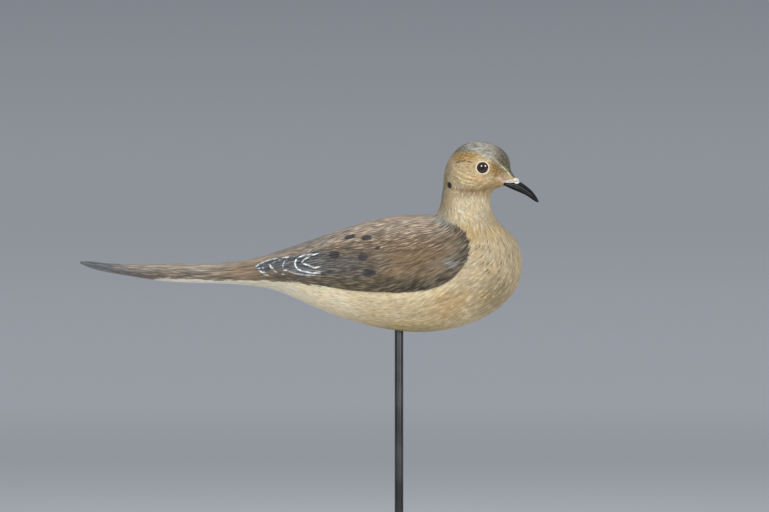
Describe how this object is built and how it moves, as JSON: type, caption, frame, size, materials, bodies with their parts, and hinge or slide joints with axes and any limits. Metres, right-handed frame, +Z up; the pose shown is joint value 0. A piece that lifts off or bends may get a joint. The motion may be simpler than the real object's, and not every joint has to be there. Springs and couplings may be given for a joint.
{
  "type": "dove decoy",
  "caption": "Carved and painted dove decoy with its head turned, a down-curved dark bill and glass eyes, held up on one rod over a round foot.",
  "frame": {"origin": "centre of the stand foot's underside, on the rod's axis", "axes": "+X the way the bird faces, from tail to bill; +Y the bird's left; +Z up"},
  "size_m": [0.3201, 0.11, 0.2885],
  "materials": {
    "painted_wood": "matte oil paint on carved wood, buff below, brown wings and tail",
    "black_bill": "black paint, half gloss",
    "dark_glass": "dark brown glass, high gloss",
    "blackened_steel": "blackened steel, satin"
  },
  "bodies": {
    "root": {"bird_carving": "painted_wood", "bill": "black_bill", "eye_right": "dark_glass", "eye_left": "dark_glass", "stand_rod": "blackened_steel", "stand_foot": "blackened_steel"}
  },
  "joints": []
}
